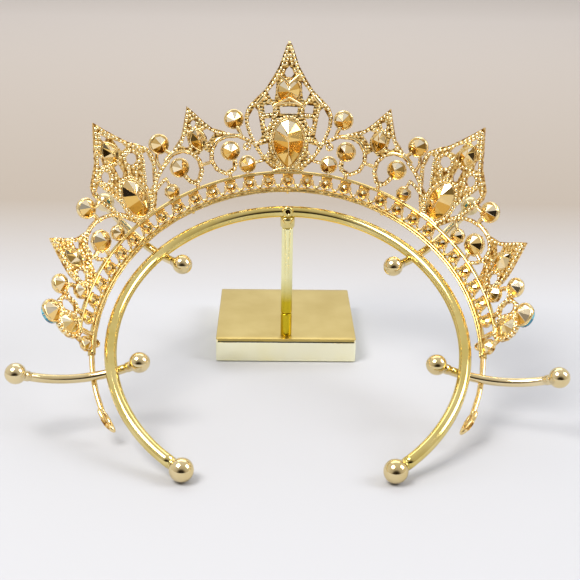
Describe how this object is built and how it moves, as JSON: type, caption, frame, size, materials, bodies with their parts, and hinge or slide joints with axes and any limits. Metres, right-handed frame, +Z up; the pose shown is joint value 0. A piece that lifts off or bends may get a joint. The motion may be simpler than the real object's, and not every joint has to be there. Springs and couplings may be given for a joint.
{
  "type": "tiara on display stand",
  "caption": "Gold tiara with pointed pierced motifs and set aqua stones, resting on the curved arms of a gilt display stand with a square base.",
  "frame": {"origin": "middle of the underside of the stand's base plate", "axes": "+Z up, +Y towards the front of the tiara, away from the side in the picture, +X to the right seen from behind"},
  "size_m": [0.205, 0.1636, 0.1341],
  "materials": {
    "tiara_gold": "polished warm gold plating on cast alloy",
    "stand_gold": "polished lemon gold plating, satin on the top of the base",
    "aqua_stone": "faceted glass with a gold foil back"
  },
  "bodies": {
    "root": {"stand_base": "stand_gold", "stand_post_foot": "stand_gold", "stand_post": "stand_gold", "stand_hoop": "stand_gold", "stand_screw": "stand_gold", "tiara_frame": "tiara_gold", "gallery_band": "tiara_gold", "centre_pear": "aqua_stone", "centre_oval": "aqua_stone", "stalk_round_right": "aqua_stone", "stalk_round_left": "aqua_stone", "band_round_right": "aqua_stone", "band_round_left": "aqua_stone", "small_marquise_right": "aqua_stone", "small_marquise_left": "aqua_stone", "scroll_round_inner_right": "aqua_stone", "scroll_round_inner_left": "aqua_stone", "scroll_round_outer_right": "aqua_stone", "scroll_round_outer_left": "aqua_stone", "valley_round_right": "aqua_stone", "valley_round_left": "aqua_stone", "side_round_inner_right": "aqua_stone", "side_round_inner_left": "aqua_stone", "tall_marquise_right": "aqua_stone", "tall_marquise_left": "aqua_stone", "tall_oval_right": "aqua_stone", "tall_oval_left": "aqua_stone", "side_round_outer_right": "aqua_stone", "side_round_outer_left": "aqua_stone", "outer_valley_round_right": "aqua_stone", "outer_valley_round_left": "aqua_stone", "low_marquise_right": "aqua_stone", "low_marquise_left": "aqua_stone", "low_scroll_round_right": "aqua_stone", "low_scroll_round_left": "aqua_stone", "low_round_right": "aqua_stone", "low_round_left": "aqua_stone", "low_top_round_right": "aqua_stone", "low_top_round_left": "aqua_stone", "end_oval_right": "aqua_stone", "end_oval_left": "aqua_stone", "end_blue_right": "aqua_stone", "end_blue_left": "aqua_stone", "end_round_right": "aqua_stone", "end_round_left": "aqua_stone"}
  },
  "joints": []
}
